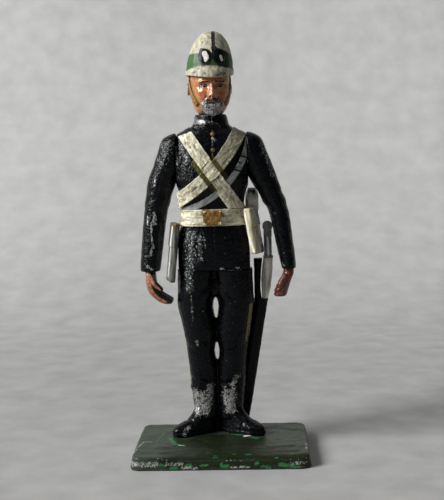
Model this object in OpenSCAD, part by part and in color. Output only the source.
// Toy soldier on a base plate: a painted white metal figure, put together from
// separately cast pieces on pegs. The arms swing on their shoulder pegs and the
// head turns on its neck peg. Lengths are in millimetres. The origin is the middle
// of the base plate's underside, the figure faces -Y and +Z is up, so the figure's
// left side is at +X.

/* [Base plate] */
// Width of the plate, side to side
base_w = 25; // [23:0.5:30]
// Depth of the plate, front to back
base_d = 17; // [16:0.5:22]
// Thickness of the plate
base_t = 1.8; // [1.6:0.1:3]
// Radius of the plate's corners
base_corner = 1.6; // [1:0.1:4]
// How far the plate's sides draw in towards the top
base_draft = 0.3; // [0.1:0.05:0.6]

/* [Stance] */
// Place of the figure's axis, to the right of the plate's middle
figure_x = -0.6; // [-1.5:0.1:1]
// Place of the figure's axis, behind the plate's middle
figure_y = 4; // [1:0.1:4]
// Turn of the right boot's toe, outwards
right_toe_out = 56; // [30:1:60]
// Turn of the left boot's toe, outwards
left_toe_out = 60; // [30:1:60]
// Turn of the head at rest, towards the figure's left
head_turn = 8; // [-20:1:20]

/* [Legs] */
// Height of the trousers, from the soles to the tunic's hem
leg_h = 24.5; // [22:0.5:28]
// Width of one trouser leg at the thigh
thigh_w = 5.4; // [5:0.1:5.8]
// Width of one trouser leg at the knee
knee_w = 5; // [4.4:0.1:5.2]
// Width of one trouser leg at the ankle
ankle_w = 3.5; // [3:0.1:4]
// Half of the gap that shows between the legs
leg_gap = 0.34; // [0.2:0.02:0.6]
// Length of a boot, heel to toe
boot_len = 8; // [6.4:0.1:8.4]
// Width of a boot
boot_w = 3.1; // [2.6:0.1:3.4]
// Height of a boot, up into the trouser leg
boot_h = 3.8; // [3:0.1:5]
// Radius of the peg under each boot
foot_peg_r = 0.75; // [0.5:0.05:1]
// Length of the peg under each boot
foot_peg_len = 1.1; // [0.6:0.1:1.3]

/* [Tunic] */
// Height of the tunic, from its hem to the top of its collar
tunic_h = 22.3; // [20:0.1:24]
// Width of the tunic at its hem
hem_w = 11.4; // [10.6:0.1:11.8]
// Depth of the tunic at its hem, front to back
hem_d = 6.5; // [5.6:0.1:7]
// Width of the tunic at the waist
waist_w = 8.9; // [8:0.1:9.8]
// Depth of the tunic at the waist
waist_d = 5.6; // [4.8:0.1:6.2]
// Width of the tunic at the chest
chest_w = 10.9; // [10.2:0.1:11.4]
// Depth of the tunic at the chest
chest_d = 6.6; // [5.8:0.1:7]
// Distance between the flat shoulder faces that carry the arms
shoulder_w = 10.4; // [9.8:0.1:10.8]
// Width of the collar
collar_w = 5.3; // [4.8:0.1:5.6]
// Width of the collar at its top
collar_top_w = 4.5; // [4:0.1:5]
// Height of the collar
collar_h = 1.5; // [1.2:0.1:2]
// Radius of the peg at the waist
waist_peg_r = 1.8; // [1.2:0.1:2.2]
// Length of the peg at the waist
waist_peg_len = 3.5; // [2:0.1:5]

/* [Arms] */
// Length of a sleeve, from the shoulder peg to the cuff
sleeve_len = 17.1; // [15:0.1:18]
// Width of a sleeve at the upper arm
upper_arm_w = 3.7; // [3.2:0.1:4.2]
// Width of the right sleeve at the cuff
right_cuff_w = 3; // [2.6:0.1:3.4]
// Width of the left sleeve at the cuff
left_cuff_w = 2.2; // [2:0.1:2.8]
// Room between the pouch and the right cuff
right_cuff_room = 0.65; // [0.6:0.05:1.1]
// Room between the sword and the left cuff
left_cuff_room = 1.1; // [0.95:0.05:1.2]
// How far the right elbow stands out
right_elbow_out = 0.17; // [0:0.01:0.3]
// How far the left elbow stands out
left_elbow_out = -0.33; // [-0.4:0.01:0]
// Radius of the shoulder pegs
arm_peg_r = 1.1; // [0.8:0.05:1.4]
// Length of the shoulder pegs
arm_peg_len = 2.2; // [1.4:0.1:3]
// Length of a hand below the cuff
hand_len = 4.8; // [4:0.1:5.2]
// Radius of the plug that holds a hand in its cuff
wrist_plug_r = 0.6; // [0.4:0.05:0.8]
// Length of the plug that holds a hand in its cuff
wrist_plug_len = 1.2; // [0.8:0.1:2]

/* [Head] */
// Width of the head
head_w = 5.7; // [5:0.1:6]
// Depth of the head
head_d = 6.5; // [5.8:0.1:6.8]
// Height of the head, chin to crown
head_h = 8; // [7.4:0.1:8.6]
// Radius of the neck peg
neck_peg_r = 1.2; // [0.9:0.05:1.5]
// Length of the neck peg
neck_peg_len = 3; // [2:0.1:4]
// Width of the helmet
helmet_w = 6.8; // [6.6:0.1:7.4]
// Depth of the helmet
helmet_d = 7.7; // [7.4:0.1:8.2]
// Height of the helmet, from its rim
helmet_h = 6.2; // [5.6:0.1:7]
// How far the peak comes down at the front
peak_dip = 0.6; // [0.4:0.1:1.2]

/* [Belts] */
// Height of the waist belt
waist_belt_h = 2.4; // [1.8:0.1:2.8]
// Width of the shoulder belts
shoulder_belt_w = 2.05; // [1.4:0.05:2.4]
// Width of the narrow bottle strap
strap_w = 0.9; // [0.6:0.05:1.2]
// Thickness of the narrow bottle strap and of each layer of belt above it
belt_t = 0.18; // [0.16:0.02:0.3]
// Width of the belt plate
belt_plate_w = 2.6; // [2:0.1:3]
// Height of the belt plate
belt_plate_h = 2; // [1.6:0.1:2.2]
// Radius of the tunic's buttons
button_r = 0.32; // [0.2:0.02:0.4]

/* [Equipment] */
// Thickness of the pouch on the right hip
pouch_t = 0.8; // [0.6:0.05:0.9]
// Length of the pouch, front to back
pouch_len = 3.4; // [2.6:0.1:3.8]
// Turn of the pouch round the hip, front end inwards
pouch_turn = 16; // [0:1:20]
// Flare of the pouch's lower end from the hip
pouch_flare = 0.5; // [0.2:0.05:0.6]
// Height of the pouch
pouch_h = 8.6; // [7:0.1:9]
// Thickness of the haversack on the left hip
haversack_t = 1.1; // [0.8:0.05:1.3]
// Length of the haversack, front to back
haversack_len = 3.1; // [2.4:0.1:3.4]
// Turn of the haversack round the hip, front end inwards
haversack_turn = 22; // [0:1:26]
// Flare of the haversack's lower end from the hip
haversack_flare = 0.05; // [0:0.05:0.2]
// Height of the haversack
haversack_h = 6.6; // [5.4:0.1:7]
// Radius of the water bottle
bottle_r = 2.1; // [1.6:0.1:2.2]
// Thickness of the water bottle
bottle_t = 1.9; // [1.4:0.1:2]
// Room between a bag and the tunic's skirt
bag_room = 0.15; // [0.1:0.05:0.3]
// Width of the sword's hilt
hilt_w = 1.5; // [1.2:0.05:1.6]
// Room between the haversack and the sword
hilt_room = 0.15; // [0.05:0.05:0.3]
// Lean of the frog from its top to its lower end
frog_lean = 0.55; // [0.3:0.05:0.7]
// Height of the sword's hilt
hilt_h = 5.4; // [4.4:0.1:6]
// Height of the frog
frog_h = 6; // [5:0.1:7]
// Width of the scabbard
scabbard_w = 2.1; // [1.6:0.1:2.2]

/* [Fits] */
// Gap between pieces that are fixed to each other
fit = 0.05; // [0.03:0.01:0.08]
// Gap around a peg that turns
turn_fit = 0.05; // [0.03:0.01:0.1]

/* [Hidden] */
$fn = 64;
// Sides of the lofted forms, and rings from one station to the next
body_sides = 28;
limb_sides = 20;
small_sides = 14;
finger_sides = 8;
loft_steps = 3;
// Squareness of the lofted sections: 1 is an oval, smaller is squarer
round_power = 1;
body_power = 0.86;
// Facets of the balls that round a bag's corners
ball_sides = 16;
// Reach of a cut past the piece it cuts
overrun = base_d;

// Heights up the figure, from the soles
hem_z = leg_h;
collar_z = leg_h + tunic_h;
belt_share = 0.34;
shoulder_share = 0.758;
belt_z = hem_z + belt_share * tunic_h;
hip_share = 0.17;
hip_z = hem_z + hip_share * tunic_h;
shoulder_z = hem_z + shoulder_share * tunic_h;

// Legs: height, inner edge in gaps, depth and place front to back, from ankle to hem.
// Heights are shares of leg_h, depths and places shares of hem_d.
leg_shares = [
    [0.09, -0.1, 0.53, 0.06],
    [0.28, -0.5, 0.62, 0.09],
    [0.40, -0.3, 0.66, 0.05],
    [0.505, 0.9, 0.66, 0.02],
    [0.62, -0.6, 0.74, -0.02],
    [0.775, 1.1, 0.82, -0.01],
    [0.86, -0.5, 0.92, 0],
    [1.0, -1.6, 0.97, 0]
];
leg_width_shares = [0, 0.24, 0.52, 0.66, 1];
leg_widths = [
    ankle_w,
    ankle_w + leg_width_shares[1] * (knee_w - ankle_w) + leg_gap,
    ankle_w + leg_width_shares[2] * (knee_w - ankle_w),
    ankle_w + leg_width_shares[3] * (knee_w - ankle_w) - leg_gap,
    knee_w,
    thigh_w - leg_gap / 2,
    thigh_w + leg_gap,
    hem_w / 2 + leg_gap
];
leg_stations = [for (i = [0:len(leg_shares) - 1])
    let (s = leg_shares[i], w = leg_widths[i])
    [s[0] * leg_h, s[1] * leg_gap + w / 2, s[3] * hem_d, w / 2, s[2] * hem_d / 2]];
ankle_x = leg_stations[0][1];
ankle_y = leg_stations[0][2];

// Boots: height as a share of boot_h, then the heel, toe and width at that height
boot_shares = [
    [0, 0.93, 0.96, 0.92],
    [0.1, 1, 1, 1],
    [0.28, 1, 0.98, 0.98],
    [0.42, 0.96, 0.84, 0.9],
    [0.58, 0.9, 0.56, 0.86],
    [0.8, 0.84, 0.4, 0.84],
    [1, 0.8, 0.34, 0.8]
];
heel_share = 0.26;
heel_len = heel_share * boot_len;
toe_len = boot_len - heel_len;
boot_stations = [for (s = boot_shares)
    [s[0] * boot_h, 0, (s[1] * heel_len - s[2] * toe_len) / 2,
        s[3] * boot_w / 2, (s[1] * heel_len + s[2] * toe_len) / 2]];

// Tunic: heights as shares of tunic_h, widths and depths as shares of the size beside
hip_w_share = 0.98;
rib_share = 0.48;
rib_w_share = 0.25;
chest_share = 0.58;
chest_y_share = -0.04;
yoke_w_share = 1.06;
yoke_d_share = 0.88;
slope_shares = [0.544, 0.696, 0.835, 1];
slope_w_shares = [1.02, 0.86, 0.66, 0.5];
slope_d_shares = [0.76, 0.72, 0.68, 0.64];
slope_lift_share = 0.4;
neck_z = collar_z - collar_h + fit;
tunic_stations = [
    [hem_z, 0, 0, hem_w / 2, hem_d / 2],
    [hip_z, 0, 0, hip_w_share * hem_w / 2, hem_d / 2],
    [belt_z, 0, 0, waist_w / 2, waist_d / 2],
    [hem_z + rib_share * tunic_h, 0, chest_y_share * chest_d / 2,
        (waist_w + rib_w_share * (chest_w - waist_w)) / 2,
        (waist_d + rib_w_share * (chest_d - waist_d)) / 2],
    [hem_z + chest_share * tunic_h, 0, chest_y_share * chest_d, chest_w / 2, chest_d / 2],
    [shoulder_z, 0, 0, yoke_w_share * chest_w / 2, yoke_d_share * chest_d / 2],
    for (i = [0:len(slope_shares) - 1])
        [shoulder_z + slope_shares[i] * (neck_z - shoulder_z), 0, 0,
            slope_w_shares[i] * shoulder_w / 2, slope_d_shares[i] * chest_d / 2]
];

// Head: heights, widths, depths and places as shares of the head's sizes
head_shares = [
    [0, 0.6, 0.6, -0.1],
    [0.08, 0.78, 0.8, -0.12],
    [0.2, 0.91, 0.92, -0.1],
    [0.37, 0.98, 0.98, -0.06],
    [0.53, 1, 1, -0.03],
    [0.67, 0.99, 0.99, -0.01],
    [0.8, 0.9, 0.9, 0],
    [0.92, 0.64, 0.64, 0],
    [1, 0.3, 0.3, 0]
];
chin_z = collar_z + turn_fit;
head_stations = [for (s = head_shares)
    [chin_z + s[0] * head_h, 0, s[3] * head_d / 2, s[1] * head_w / 2, s[2] * head_d / 2]];

// Helmet: the same for its own sizes, with the share of the peak's dip at each height
helmet_shares = [
    [0, 1.01, 1.04, -0.03, 1],
    [0.06, 1.02, 1.05, -0.02, 0.85],
    [0.13, 1.01, 1.03, -0.01, 0.6],
    [0.18, 0.98, 0.97, 0, 0.35],
    [0.3, 0.97, 0.96, 0.01, 0.1],
    [0.45, 0.91, 0.91, 0.02, 0],
    [0.6, 0.83, 0.83, 0.02, 0],
    [0.76, 0.7, 0.7, 0.02, 0],
    [0.89, 0.52, 0.52, 0.02, 0],
    [0.96, 0.36, 0.36, 0.02, 0],
    [1, 0.16, 0.16, 0.02, 0]
];
helmet_lean_share = 0.06;
rim_share = 0.69;
rim_z = chin_z + rim_share * head_h;

// Flat face of an arm, against the shoulder
arm_face_x = shoulder_w / 2 + turn_fit;
// Sleeve: height from the cuff as a share of sleeve_len, lean as a share of the way
// out to the cuff, width as shares of the cuff's and the upper arm's, depth as a share
// of the upper arm's width, bend to the front or back as a share of it, and the share
// of how far the elbow stands out
sleeve_shares = [
    [0, 1, 0.88, 0, 0.41, -0.1, 0],
    [0.03, 1, 1, 0, 0.46, -0.1, 0],
    [0.21, 0.91, 0.85, 0.18, 0.48, -0.06, 0],
    [0.5, 0.76, 0.6, 0.45, 0.5, 0.02, 0],
    [0.75, 0.48, 0.25, 0.92, 0.54, 0.02, 1],
    [0.9, 0.24, 0, 1.22, 0.57, 0, 0.4],
    [1, 0.06, 0, 1.3, 0.58, 0, 0],
    [1.07, 0, 0, 1.24, 0.55, 0, 0],
    [1.12, 0, 0, 0.98, 0.46, 0, 0],
    [1.145, 0, 0, 0.58, 0.3, 0, 0],
    [1.155, 0, 0, 0.26, 0.16, 0, 0]
];
cuff_y = sleeve_shares[0][5] * upper_arm_w;
sleeve_root_x = arm_face_x;
cuff_z = shoulder_z - sleeve_len;

// Belts over the tunic: three layers, the strap lowest and the left belt on top
strap_top = fit + belt_t;
right_belt_top = strap_top + fit + belt_t;
left_belt_top = right_belt_top + fit + belt_t;
waist_belt_share = 2;
waist_belt_top = fit + waist_belt_share * belt_t;
// Ends of each belt as seen from the front, as shares of half the chest's width and
// of the tunic's height, and its bow as a share of its length
right_belt_shares = [[-0.58, 0.843], [0.57, 0.426]];
right_bow_share = 0;
left_belt_shares = [[0.715, 0.866], [-0.78, 0.471]];
left_bow_share = 0.07;
strap_shares = [[0.95, 0.79], [-0.527, 0.406]];
strap_bow_share = 0.128;
buckle_share = 0.33;
buckle_len_share = 1.3;
button_shares = [0.872, 0.771];
button_x_share = 0.06;

// Bags and sword on the hips. Heights are shares of tunic_h.
pouch_top_share = 0.31;
pouch_z = hem_z + pouch_top_share * tunic_h;
pouch_bottom_z = pouch_z - pouch_h;
haversack_top_share = 0.395;
haversack_z = hem_z + haversack_top_share * tunic_h;
haversack_bottom_z = haversack_z - haversack_h;
haversack_back_share = 0.005;
haversack_back_y = haversack_back_share * hem_d;
pouch_back_share = 0.1;
pouch_back_y = pouch_back_share * hem_d;
bag_edge_share = 0.34;
flap_h_share = 0.42;
flap_t_share = 0.12;
pouch_out_x = tunic_side(pouch_bottom_z) + bag_room + pouch_flare + pouch_t * (1 + flap_t_share);
bottle_lift_share = 0.32;
bottle_z = haversack_z + bottle_lift_share * bottle_r;
bottle_y = haversack_back_y + bag_room + 2 * fit + bottle_r;
bottle_rim_share = 0.56;
bottle_x = tunic_side(bottle_z) + right_belt_top + fit + bottle_rim_share * bottle_t / 2;
hilt_x = tunic_side(haversack_bottom_z) + bag_room + haversack_flare + haversack_t + hilt_room + hilt_w / 2;
hilt_y_share = 0.17;
hilt_y = hilt_y_share * hem_d;
hilt_top_share = 0.402725146;
hilt_top_z = cuff_z + hilt_top_share * sleeve_len;
frog_top_z = hilt_top_z - hilt_h;
frog_bottom_z = frog_top_z - frog_h;

right_cuff_x = pouch_out_x + right_cuff_room + right_cuff_w / 2;
left_cuff_x = hilt_x + hilt_w / 2 + left_cuff_room + left_cuff_w / 2;

// Colours of the paint
enamel_black = [0.07, 0.08, 0.12];
belt_cream = [0.85, 0.82, 0.72];
flesh = [0.75, 0.5, 0.36];
brass = [0.62, 0.48, 0.22];
bare_metal = [0.6, 0.61, 0.6];
ground_green = [0.24, 0.3, 0.24];

// Half the tunic's width at a height, from its stations
function tunic_side(z) = z < hem_z ? hem_w / 2 : lookup(z, [for (s = tunic_stations) [s[0], s[3]]]);

// Half the tunic's depth in front of the axis at a height
function tunic_front(z) = lookup(z, [for (s = tunic_stations) [s[0], s[4] - s[2]]]);

// A point on the smooth curve through four stations, between the middle two
function between(a, b, c, d, t) =
    (2 * b + (c - a) * t + (2 * a - 5 * b + 4 * c - d) * pow(t, 2)
        + (3 * b - a - 3 * c + d) * pow(t, 3)) / 2;

// Stations with more of them put in along a smooth curve
function smooth(stations, steps) =
    let (last = len(stations) - 1)
    [for (i = [0:last - 1], j = [0:steps - 1])
        between(stations[max(i - 1, 0)], stations[i], stations[i + 1],
            stations[min(i + 2, last)], j / steps), stations[last]];

// A cosine or sine made squarer by the power
function squared(v, power) = sign(v) * pow(abs(v), power);

// The points of one section: height, place, half width and half depth, grown by grow,
// lowered at the front by its dip where it has one
function section(s, sides, power, grow) =
    [for (k = [0:sides - 1])
        let (c = squared(cos(360 * k / sides), power), n = squared(sin(360 * k / sides), power))
        [s[1] + (s[3] + grow) * c, s[2] + (s[4] + grow) * n,
            s[0] - (len(s) > 5 ? s[5] * pow(max(-n, 0), 2) : 0)]];

// A closed skin over sections of equal sides, from the lowest up
module skin(sections) {
    sides = len(sections[0]);
    last = len(sections) - 1;
    polyhedron(
        points = [for (s = sections) each s],
        faces = [
            [for (k = [0:sides - 1]) k],
            for (i = [0:last - 1], k = [0:sides - 1])
                let (a = i * sides + k, b = i * sides + (k + 1) % sides)
                each [[a, a + sides, b + sides], [a, b + sides, b]],
            [for (k = [sides - 1:-1:0]) last * sides + k]
        ]
    );
}

// A solid through stations, smoothed, with its sections grown by grow
module loft(stations, sides, power = round_power, grow = 0) {
    skin([for (s = smooth(stations, loft_steps)) section(s, sides, power, grow)]);
}

// Puts a piece of the figure on the base plate
module stand() {
    translate([figure_x, figure_y, base_t]) children();
}

// Puts a piece of the head at its turn
module on_neck() {
    stand() rotate([0, 0, head_turn]) children();
}

// The tunic's form, grown all over by grow, but by no more than the lowest belt on the
// slope of the shoulders, which is lifted by a share of that
module tunic_form(grow = 0) {
    slope_grow = min(grow, strap_top);
    loft([for (s = tunic_stations)
        let (slope = s[0] > shoulder_z ? 1 : 0, less = slope * (grow - slope_grow))
        [s[0] + slope * slope_lift_share * slope_grow, s[1], s[2], s[3] - less, s[4] - less]],
        body_sides, body_power, grow);
}

// Everything between the flat shoulder faces, drawn in by room on each side
module between_shoulders(room = 0) {
    translate([room - shoulder_w / 2, -overrun, 0])
        cube([shoulder_w - 2 * room, 2 * overrun, collar_z]);
}

// A wall along Y that runs from one end to the other as seen from the front, straight
// or with a bow
module belt_wall(shares, bow_share, w) {
    p = [shares[0][0] * chest_w / 2, hem_z + shares[0][1] * tunic_h];
    q = [shares[1][0] * chest_w / 2, hem_z + shares[1][1] * tunic_h];
    if (bow_share == 0) straight_wall(p, q, w);
    else bowed_wall(p, q, bow_share * norm(q - p), w);
}

module straight_wall(p, q, w) {
    translate([(p[0] + q[0]) / 2, 0, (p[1] + q[1]) / 2])
        rotate([0, atan2(q[0] - p[0], q[1] - p[1]), 0])
            cube([w, 2 * overrun, 2 * overrun], center = true);
}

module bowed_wall(p, q, bow, w) {
    chord = norm(q - p);
    r = (pow(chord / 2, 2) + pow(bow, 2)) / (2 * bow);
    across = [p[1] - q[1], q[0] - p[0]] / chord;
    centre = (p + q) / 2 + (bow - r) * across;
    translate([centre[0], overrun, centre[1]]) rotate([90, 0, 0]) difference() {
        cylinder(r = r + w / 2, h = 2 * overrun);
        translate([0, 0, -overrun]) cylinder(r = r - w / 2, h = 4 * overrun);
    }
}

module base_plate() {
    color(ground_green) difference() {
        hull() for (sx = [-1, 1], sy = [-1, 1])
            translate([sx * (base_w / 2 - base_corner), sy * (base_d / 2 - base_corner), 0])
                cylinder(r1 = base_corner, r2 = base_corner - base_draft, h = base_t, $fn = 32);
        stand() foot_pegs(foot_peg_r + fit, foot_peg_len + fit);
    }
}

module foot_pegs(r, len) {
    for (side = [-1, 1])
        translate([side * ankle_x, ankle_y, -len]) cylinder(r = r, h = len + boot_h / 2);
}

module boot(side, toe_out) {
    translate([side * ankle_x, ankle_y, 0]) rotate([0, 0, side * toe_out])
        loft(boot_stations, limb_sides, body_power);
}

module legs() {
    color(enamel_black) stand() {
        for (side = [-1, 1]) mirror([side < 0 ? 1 : 0, 0, 0]) loft(leg_stations, limb_sides);
        boot(-1, right_toe_out);
        boot(1, left_toe_out);
        foot_pegs(foot_peg_r, foot_peg_len);
        translate([0, 0, hem_z - waist_peg_len]) cylinder(r = waist_peg_r, h = 2 * waist_peg_len);
    }
}

module tunic() {
    color(enamel_black) stand() difference() {
        union() {
            intersection() {
                tunic_form();
                between_shoulders();
            }
            translate([0, 0, collar_z - collar_h])
                cylinder(d1 = collar_w, d2 = collar_top_w, h = collar_h);
        }
        translate([0, 0, hem_z - overrun])
            cylinder(r = waist_peg_r + fit, h = overrun + waist_peg_len + fit);
        translate([0, 0, collar_z - neck_peg_len - fit])
            cylinder(r = neck_peg_r + turn_fit, h = overrun);
        for (side = [-1, 1])
            translate([side * (shoulder_w / 2 - arm_peg_len - fit), 0, shoulder_z])
                rotate([0, side * 90, 0]) cylinder(r = arm_peg_r + turn_fit, h = overrun);
    }
}

module head_form(grow = 0) {
    loft(head_stations, body_sides, round_power, grow);
}

// A nose, a moustache, a short beard and ears on the head, all shares of its sizes
nose_shares = [
    [0, -0.98, 0.5, 0.05],
    [0, -1.16, 0.32, 0.06],
    [0.1, -1.02, 0.29, 0.045],
    [-0.1, -1.02, 0.29, 0.045]
];
lip_shares = [[0, -1.1, 0.235, 0.055], [0.24, -0.99, 0.19, 0.035]];
beard_shares = [
    [0, -1.08, 0.01, 0.1],
    [0.1, -1.05, 0.03, 0.09],
    [-0.1, -1.05, 0.03, 0.09],
    [0.15, -1.06, 0.12, 0.08],
    [-0.15, -1.06, 0.12, 0.08],
    [0.22, -0.9, 0.16, 0.085],
    [-0.22, -0.9, 0.16, 0.085]
];
ear_shares = [0.98, 0.17, 0.46, 0.15];

module face_ball(s, side = 1) {
    translate([side * s[0] * head_w, s[1] * head_d / 2, chin_z + s[2] * head_h])
        sphere(r = s[3] * head_w, $fn = ball_sides);
}

module head() {
    color(flesh) on_neck() {
        head_form();
        hull() for (s = nose_shares) face_ball(s);
        hull() for (s = beard_shares) face_ball(s);
        for (side = [-1, 1]) {
            hull() for (s = lip_shares) face_ball(s, side);
            translate([side * ear_shares[0] * head_w / 2, ear_shares[1] * head_d,
                chin_z + ear_shares[2] * head_h]) rotate([0, side * 90, 0])
                    cylinder(r = ear_shares[3] * head_w, h = ear_shares[3] * head_w / 2);
        }
        translate([0, 0, collar_z - neck_peg_len])
            cylinder(r = neck_peg_r, h = neck_peg_len + head_h / 2);
    }
}

module helmet_form(grow = 0) {
    loft([for (s = helmet_shares)
        [rim_z + s[0] * helmet_h, helmet_lean_share * s[0] * helmet_h, s[3] * helmet_d / 2,
            s[1] * helmet_w / 2, s[2] * helmet_d / 2, s[4] * peak_dip]],
        body_sides, round_power, grow);
}

module helmet() {
    color(belt_cream) on_neck() difference() {
        helmet_form();
        head_form(fit);
    }
}

// The ovals on the helmet: place round the helmet, height, width and rim
goggle_turn = 17;
goggle_z_share = 0.4;
goggle_w_share = 0.24;
goggle_h_share = 0.32;

module goggles() {
    color(enamel_black) on_neck() intersection() {
        difference() {
            helmet_form(fit + belt_t);
            helmet_form(fit);
        }
        for (side = [-1, 1]) rotate([0, 0, side * goggle_turn])
            translate([0, 0, rim_z + goggle_z_share * helmet_h]) rotate([90, 0, 0])
                linear_extrude(overrun)
                    scale([goggle_w_share * helmet_w, goggle_h_share * helmet_h]) circle(d = 1);
    }
}

// The strap's run as seen from the side: its ends as shares of the head's depth and height
chin_strap_shares = [[0.06, 0.7], [-0.34, 0.15]];
chin_strap_w_share = 0.13;

module chin_strap() {
    p = [chin_strap_shares[0][0] * head_d, chin_z + chin_strap_shares[0][1] * head_h];
    q = [chin_strap_shares[1][0] * head_d, chin_z + chin_strap_shares[1][1] * head_h];
    color(brass) on_neck() intersection() {
        difference() {
            head_form(fit + belt_t);
            head_form(fit);
            helmet_form(fit);
        }
        translate([0, q[0], q[1]]) rotate([atan2(p[0] - q[0], q[1] - p[1]) + 180, 0, 0])
            translate([-overrun, -chin_strap_w_share * head_w / 2, 0])
                cube([2 * overrun, chin_strap_w_share * head_w, norm(p - q)]);
    }
}

module sleeve_form(cuff_x, cuff_w, elbow_out) {
    loft([for (s = sleeve_shares)
        [cuff_z + s[0] * sleeve_len,
            sleeve_root_x + s[1] * (cuff_x - sleeve_root_x) + s[6] * elbow_out,
            s[5] * upper_arm_w, (s[2] * cuff_w + s[3] * upper_arm_w) / 2,
            s[4] * upper_arm_w]], limb_sides);
}

// An arm on the figure's left: a sleeve with a flat face, a peg and a wrist socket
module arm(cuff_x, cuff_w, elbow_out) {
    difference() {
        union() {
            intersection() {
                sleeve_form(cuff_x, cuff_w, elbow_out);
                translate([arm_face_x, -overrun, 0]) cube([overrun, 2 * overrun, 2 * collar_z]);
            }
            translate([shoulder_w / 2 - arm_peg_len, 0, shoulder_z]) rotate([0, 90, 0])
                cylinder(r = arm_peg_r, h = arm_peg_len + upper_arm_w / 2);
        }
        translate([cuff_x, cuff_y, cuff_z - overrun])
            cylinder(r = wrist_plug_r + fit, h = overrun + wrist_plug_len + fit);
    }
}

module right_arm() {
    color(enamel_black) stand() mirror([1, 0, 0]) arm(right_cuff_x, right_cuff_w, right_elbow_out);
}

module left_arm() {
    color(enamel_black) stand() arm(left_cuff_x, left_cuff_w, left_elbow_out);
}

// The plug that holds a hand in its cuff, and the way down the hand from it
module wrist_plug() {
    cylinder(r = wrist_plug_r, h = wrist_plug_len);
}

module at_cuff(cuff_x) {
    translate([cuff_x, cuff_y, cuff_z]) children();
}

// The right hand is hooked round a grip that runs front to back: a palm, then four
// fingers side by side. Each station is the turn round the grip, the drop below the
// cuff, and the half thickness and half width there, as shares of the hand's length
grip_share = 0.7;
palm_shares = [
    [0, 0, 0.16, 0.2],
    [0, 0.14, 0.17, 0.25],
    [15, 0.22, 0.17, 0.28],
    [36, 0.22, 0.1, 0.24]
];
finger_shares = [
    [8, 0.2, 0.13, 0.06],
    [24, 0.22, 0.16, 0.082],
    [48, 0.22, 0.14, 0.08],
    [72, 0.22, 0.12, 0.075],
    [86, 0.22, 0.06, 0.045]
];
finger_pitch_share = 0.145;
// Thumbs: place outwards, forwards and down from the cuff, and radius, as shares of
// the hand's length
right_thumb_shares = [[-0.02, -0.18, -0.12, 0.1], [-0.14, -0.29, -0.34, 0.085], [-0.33, -0.3, -0.52, 0.07]];
left_thumb_shares = [[-0.12, -0.2, -0.24, 0.1], [-0.26, -0.27, -0.44, 0.09], [-0.33, -0.24, -0.62, 0.075]];

function hook_section(s, sides, y) =
    let (r = grip_share * hand_len)
    [for (k = [0:sides - 1])
        let (a = 360 * k / sides, out = r + s[2] * hand_len * squared(cos(a), body_power))
        [out * cos(s[0]) - r, y + s[3] * hand_len * squared(sin(a), body_power),
            -s[1] * hand_len - out * sin(s[0])]];

module hook(shares, sides, y) {
    sections = [for (s = smooth(shares, loft_steps)) hook_section(s, sides, y)];
    skin([for (i = [len(sections) - 1:-1:0]) sections[i]]);
}

module thumb(shares) {
    for (i = [0:len(shares) - 2]) hull() for (s = [shares[i], shares[i + 1]])
        translate([s[0], s[1], s[2]] * hand_len) sphere(r = s[3] * hand_len, $fn = ball_sides);
}

module right_hand() {
    color(flesh) stand() mirror([1, 0, 0]) at_cuff(right_cuff_x) {
        wrist_plug();
        hook(palm_shares, small_sides, 0);
        for (i = [-1.5:1:1.5]) hook(finger_shares, finger_sides, i * finger_pitch_share * hand_len);
        thumb(right_thumb_shares);
    }
}

// The left hand is a closed fist: drop, lean inwards, half width and half depth as
// shares of its length
fist_shares = [
    [-0.84, 0.27, 0.15, 0.2],
    [-0.79, 0.27, 0.2, 0.27],
    [-0.6, 0.22, 0.21, 0.3],
    [-0.36, 0.12, 0.19, 0.28],
    [-0.16, 0.02, 0.17, 0.23],
    [0, 0, 0.16, 0.2]
];

module left_hand() {
    color(flesh) stand() at_cuff(left_cuff_x) {
        wrist_plug();
        loft([for (s = fist_shares)
            [s[0] * hand_len, -s[1] * hand_len, 0, s[2] * hand_len, s[3] * hand_len]],
            small_sides, body_power);
        thumb(left_thumb_shares);
    }
}

module waist_belt() {
    color(belt_cream) stand() intersection() {
        difference() {
            tunic_form(waist_belt_top);
            tunic_form(fit);
        }
        translate([-overrun, -overrun, belt_z - waist_belt_h / 2])
            cube([2 * overrun, 2 * overrun, waist_belt_h]);
    }
}

module belt_plate() {
    plate_t = 2 * belt_t;
    front = max(tunic_front(belt_z - belt_plate_h / 2), tunic_front(belt_z + belt_plate_h / 2))
        + waist_belt_top + fit;
    color(brass) stand() translate([-belt_plate_w / 2, -front - plate_t, belt_z - belt_plate_h / 2])
        cube([belt_plate_w, plate_t, belt_plate_h]);
}

// Room for the waist belt, kept by the belts that meet it
module above_waist_belt() {
    translate([-overrun, -overrun, belt_z + waist_belt_h / 2 + fit])
        cube([2 * overrun, 2 * overrun, tunic_h]);
}

// A belt over the tunic, as thick as top, clear of the arms and the waist belt
module belt(shares, bow_share, w, top) {
    intersection() {
        difference() {
            tunic_form(top);
            tunic_form(fit);
            translate([0, 0, collar_z - collar_h - overrun])
                cylinder(r = collar_w / 2 + fit, h = 2 * overrun);
        }
        belt_wall(shares, bow_share, w);
        above_waist_belt();
        between_shoulders(fit);
    }
}

// The room that a belt takes under another that passes over it
module belt_room(shares, bow_share, w, top) {
    intersection() {
        tunic_form(top + fit);
        belt_wall(shares, bow_share, w + 2 * fit);
    }
}

module bottle_strap() {
    color(bare_metal) stand() belt(strap_shares, strap_bow_share, strap_w, strap_top);
}

module right_shoulder_belt() {
    color(belt_cream) stand() difference() {
        belt(right_belt_shares, right_bow_share, shoulder_belt_w, right_belt_top);
        belt_room(strap_shares, strap_bow_share, strap_w, strap_top);
    }
}

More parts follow.
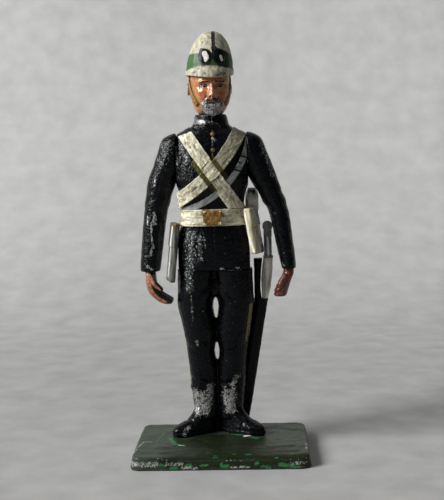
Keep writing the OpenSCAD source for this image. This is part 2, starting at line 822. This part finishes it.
module left_shoulder_belt() {
    color(belt_cream) stand() difference() {
        belt(left_belt_shares, left_bow_share, shoulder_belt_w, left_belt_top);
        belt_room(right_belt_shares, right_bow_share, shoulder_belt_w, right_belt_top);
        belt_room(strap_shares, strap_bow_share, strap_w, strap_top);
    }
}

module strap_buckle() {
    p = strap_shares[0];
    q = strap_shares[1];
    at = p + buckle_share * (q - p);
    color(bare_metal) stand() intersection() {
        difference() {
            tunic_form(strap_top + fit + belt_t);
            tunic_form(strap_top + fit);
        }
        belt_wall(strap_shares, strap_bow_share, strap_w);
        between_shoulders(fit);
        translate([-overrun, -overrun, hem_z + at[1] * tunic_h])
            cube([2 * overrun, overrun, buckle_len_share * strap_w]);
    }
}

module tunic_buttons() {
    color(brass) stand() for (share = button_shares) {
        z = hem_z + share * tunic_h;
        translate([button_x_share * chest_w / 2, -tunic_front(z - button_r) - fit, z]) rotate([90, 0, 0])
            cylinder(r1 = button_r, r2 = button_r / 2, h = belt_t);
    }
}

// A bag with rounded edges: its inner side at the top and bottom, thickness, length,
// top and bottom, and the place of its back end
module bag(top_x, bottom_x, t, len, top_z, bottom_z, back_y) {
    r = bag_edge_share * t;
    hull() for (end = [[top_x, top_z - r], [bottom_x, bottom_z + r]],
                y = [back_y - len + r, back_y - r], x = [r, t - r])
        translate([end[0] + x, y, end[1]]) sphere(r = r, $fn = ball_sides);
}

// A bag with a flap over its upper part, turned round the hip
module hip_bag(t, len, top_z, bottom_z, back_y, turn, flare) {
    bottom_x = tunic_side(bottom_z) + bag_room + flare;
    lean = (tunic_side(hip_z) + bag_room - bottom_x) / (hip_z - bottom_z);
    top_x = max(tunic_side(top_z) + waist_belt_top + bag_room, bottom_x + lean * (top_z - bottom_z));
    flap_z = top_z - flap_h_share * (top_z - bottom_z);
    flap_x = top_x + flap_h_share * (bottom_x - top_x);
    translate([top_x, 0, 0]) rotate([0, 0, -turn]) translate([-top_x, 0, 0]) {
        bag(top_x, bottom_x, t, len, top_z, bottom_z, back_y);
        bag(top_x, flap_x, t * (1 + flap_t_share), len, top_z, flap_z, back_y);
    }
}

module side_pouch() {
    color(belt_cream) stand() mirror([1, 0, 0])
        hip_bag(pouch_t, pouch_len, pouch_z, pouch_bottom_z, pouch_back_y, pouch_turn, pouch_flare);
}

module haversack() {
    color(belt_cream) stand()
        hip_bag(haversack_t, haversack_len, haversack_z, haversack_bottom_z, haversack_back_y,
            haversack_turn, haversack_flare);
}

// Share of the water bottle's radius that its flat faces have
bottle_face_share = 0.6;

module water_bottle() {
    rim_t = bottle_rim_share * bottle_t;
    color(bare_metal) stand() translate([bottle_x, bottle_y, bottle_z])
        for (side = [-1, 1]) rotate([0, side * 90, 0]) {
            cylinder(r = bottle_r, h = rim_t / 2);
            translate([0, 0, rim_t / 2])
                cylinder(r1 = bottle_r, r2 = bottle_face_share * bottle_r, h = (bottle_t - rim_t) / 2);
        }
}

// The sword: a round pommel with a rivet hole, a grip and a cross guard
grip_w_share = 0.8;
guard_t_share = 0.2;

module sword_hilt() {
    grip_w = grip_w_share * hilt_w;
    guard_t = guard_t_share * hilt_w;
    color(bare_metal) stand() translate([hilt_x, hilt_y, frog_top_z]) {
        cylinder(d = grip_w, h = hilt_h - hilt_w / 2);
        difference() {
            translate([0, grip_w / 2, hilt_h - hilt_w / 2]) rotate([90, 0, 0])
                cylinder(d = hilt_w, h = grip_w);
            translate([0, overrun, hilt_h - hilt_w / 2]) rotate([90, 0, 0])
                cylinder(r = guard_t / 2, h = 2 * overrun);
        }
        translate([-hilt_w / 2, -hilt_w / 2, 0]) cube([hilt_w, hilt_w, guard_t]);
    }
}

frog_shares = [
    [0, 0.55, 0.5],
    [0.3, 0.95, 0.6],
    [0.7, 1.05, 0.62],
    [1, 0.95, 0.6]
];
scabbard_x_share = 0.855;
scabbard_lean_share = 0.495;
blade_share = 0.36;
scabbard_back_share = 2.3;
scabbard_end_share = 0.06;
throat_d_share = 0.3;
throat_drop_share = 0.1;

module bayonet_frog() {
    color(belt_cream) stand()
        loft([for (s = frog_shares)
            [frog_bottom_z + s[0] * frog_h, hilt_x - (1 - s[0]) * frog_lean, hilt_y,
                s[1] * hilt_w / 2, s[2] * hilt_w]],
            small_sides, body_power);
}

// The scabbard, with a throat that runs up the inner side of the frog
module scabbard() {
    end_z = scabbard_end_share * leg_h;
    end_x = scabbard_lean_share * hilt_x;
    throat_in_x = hem_w / 2;
    throat = [for (s = frog_shares)
        let (out_x = hilt_x - (1 - s[0]) * frog_lean - s[1] * hilt_w / 2 - 2 * fit)
        [frog_bottom_z + s[0] * frog_h - fit, (out_x + throat_in_x) / 2, hilt_y,
            (out_x - throat_in_x) / 2, throat_d_share * scabbard_w]];
    root = [throat[0][0] - throat_drop_share * frog_h, throat[0][1], hilt_y, throat[0][3], throat[0][4]];
    color(enamel_black) stand() {
        loft([[end_z, end_x, scabbard_back_share * hilt_y, scabbard_w / 4, scabbard_w / 2],
            [end_z + scabbard_w, end_x, scabbard_back_share * hilt_y,
                scabbard_w / 2, scabbard_w * blade_share],
            [frog_bottom_z, scabbard_x_share * hilt_x, hilt_y, scabbard_w / 2, scabbard_w * blade_share]],
            small_sides);
        loft(concat([root], throat), small_sides);
    }
}

base_plate();
legs();
tunic();
head();
helmet();
goggles();
chin_strap();
right_arm();
left_arm();
right_hand();
left_hand();
waist_belt();
belt_plate();
right_shoulder_belt();
left_shoulder_belt();
bottle_strap();
strap_buckle();
tunic_buttons();
haversack();
water_bottle();
side_pouch();
sword_hilt();
bayonet_frog();
scabbard();
